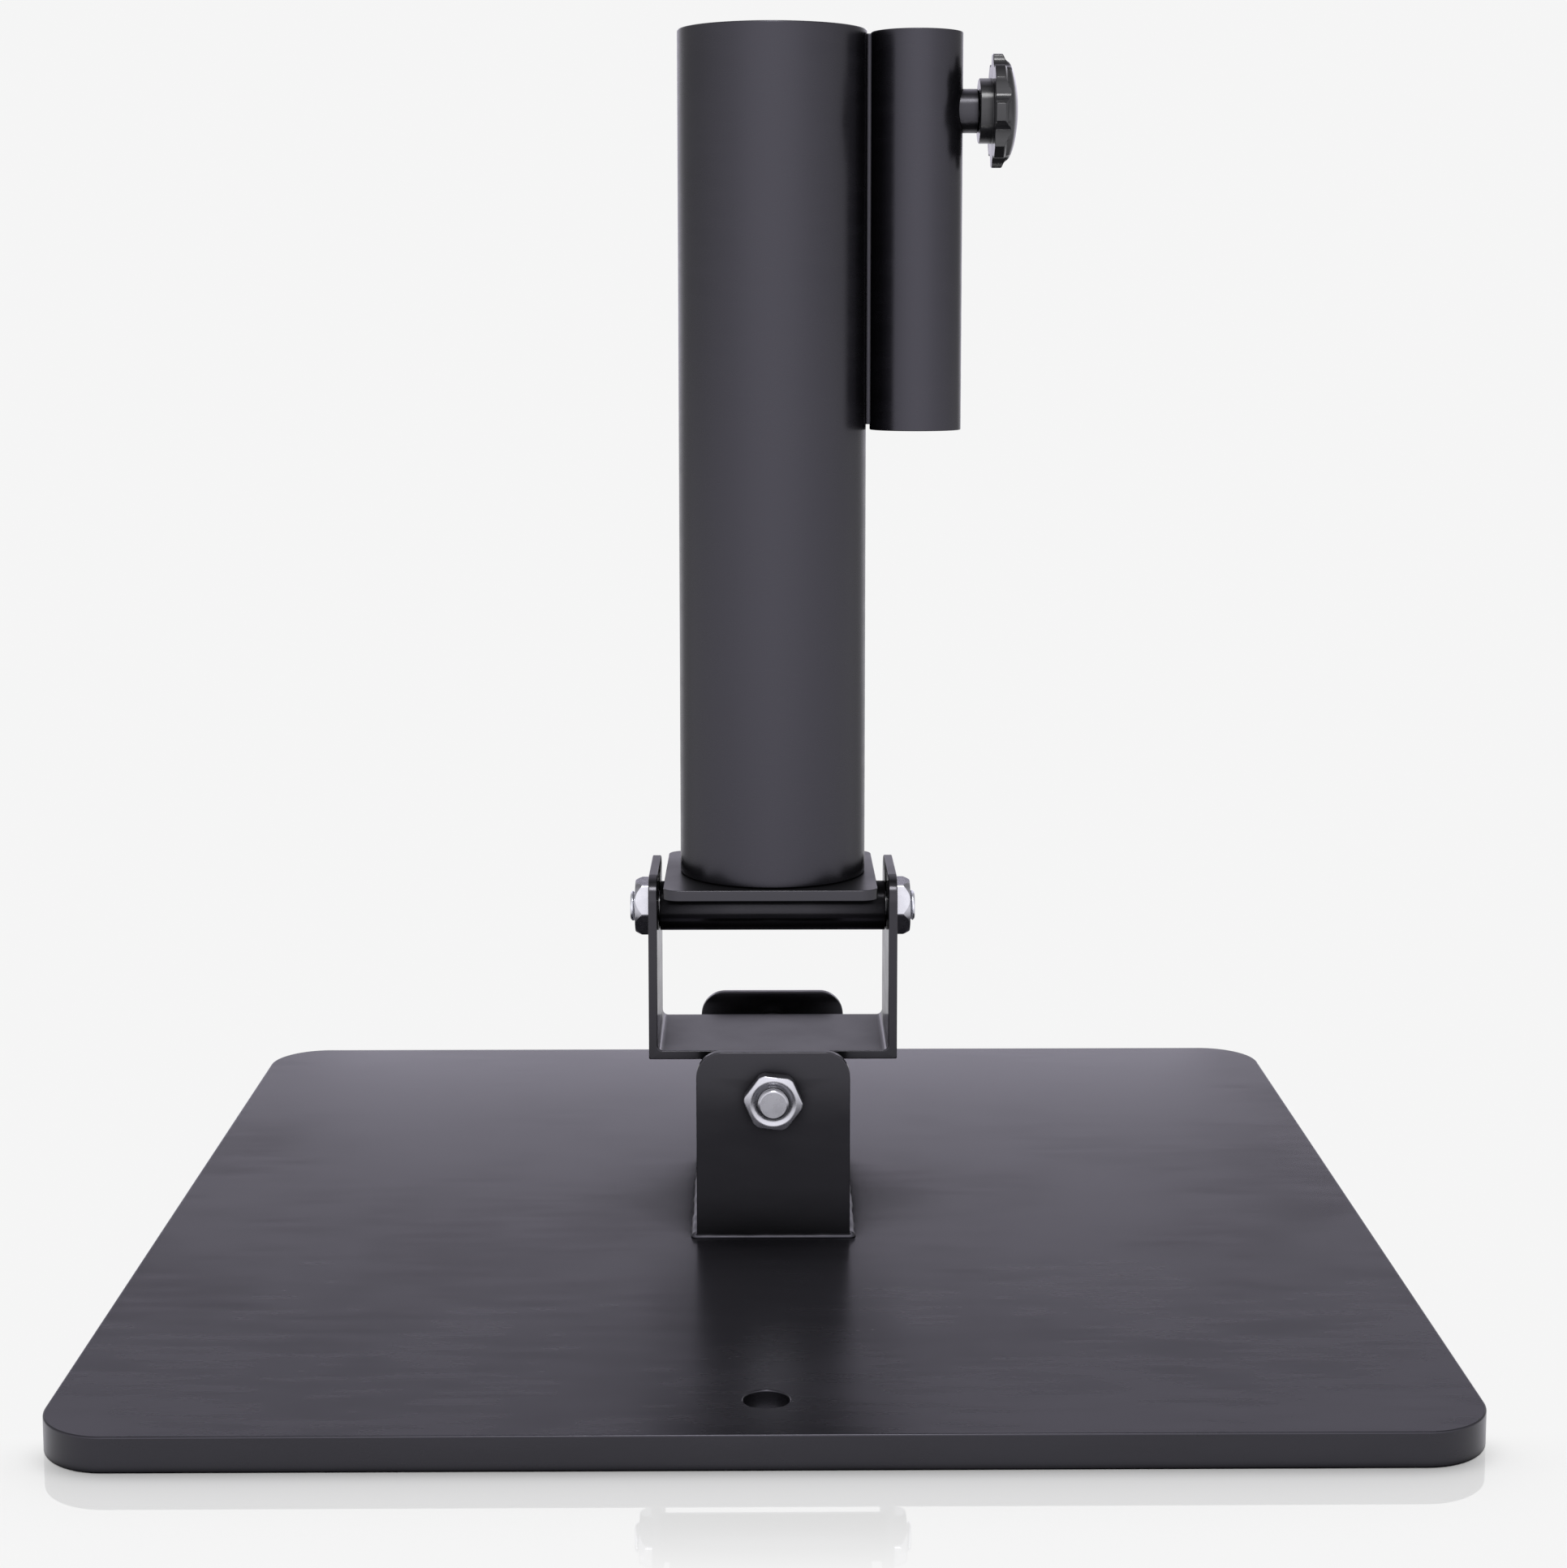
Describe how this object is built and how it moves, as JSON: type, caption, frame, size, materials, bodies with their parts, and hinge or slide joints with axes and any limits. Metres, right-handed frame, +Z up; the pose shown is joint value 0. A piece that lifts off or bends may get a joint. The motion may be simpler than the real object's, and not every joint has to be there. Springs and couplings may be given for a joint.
{
  "type": "barbell pivot attachment",
  "caption": "Floor plate with a bracket and a yoke that let a bar tube swing and tilt, and a side tube with a star-knob clamp.",
  "frame": {"origin": "middle of the base plate's underside, on the floor", "axes": "+Z up, +X to the right as seen from the side with the anchor hole, +Y away from that side"},
  "size_m": [0.386, 0.374, 0.3895],
  "materials": {
    "black_coat": "satin charcoal powder coat",
    "weld_coat": "satin charcoal powder coat over a weld bead",
    "zinc": "bright zinc plate",
    "knob_plastic": "moulded black plastic, lightly textured"
  },
  "bodies": {
    "base": {"base_plate": "black_coat", "base_bracket": "black_coat", "bracket_weld": "weld_coat", "lower_axle": "zinc", "lower_nut_front": "zinc", "lower_nut_rear": "zinc"},
    "swing_yoke": {"yoke": "black_coat", "lower_sleeve": "black_coat", "lower_sleeve_weld_left": "weld_coat", "lower_sleeve_weld_right": "weld_coat", "upper_axle": "zinc", "upper_nut_left": "zinc", "upper_nut_right": "zinc"},
    "bar_holder": {"upper_sleeve": "black_coat", "foot_plate": "black_coat", "upper_sleeve_weld_front": "weld_coat", "upper_sleeve_weld_rear": "weld_coat", "main_tube": "black_coat", "side_tube": "black_coat", "side_tube_weld_front": "weld_coat", "side_tube_weld_rear": "weld_coat", "clamp_boss": "black_coat"},
    "screw": {"clamp_screw": "zinc"},
    "knob": {"clamp_knob": "knob_plastic"}
  },
  "joints": [
    {"name": "yoke_swing", "type": "hinge", "parent": "base", "child": "swing_yoke", "pos_m": [0.0024, 0.005, 0.0548], "axis": [0, 1, 0], "range_deg": [-36, 36]},
    {"name": "tube_tilt", "type": "hinge", "parent": "swing_yoke", "child": "bar_holder", "pos_m": [0.0024, 0.005, 0.1084], "axis": [1, 0, 0], "range_deg": [-90, 90]},
    {"name": "clamp_travel", "type": "slide", "parent": "bar_holder", "child": "screw", "axis": [1, 0, 0], "range_m": [0, 0.00375]},
    {"name": "knob_turn", "type": "hinge", "parent": "screw", "child": "knob", "pos_m": [0.068, 0.005, 0.3645], "axis": [1, 0, 0], "range_deg": [0, 1082]}
  ],
  "couplings": [
    {"joint": "knob_turn", "follows": "clamp_travel", "rad_per_m": 5026.5}
  ]
}
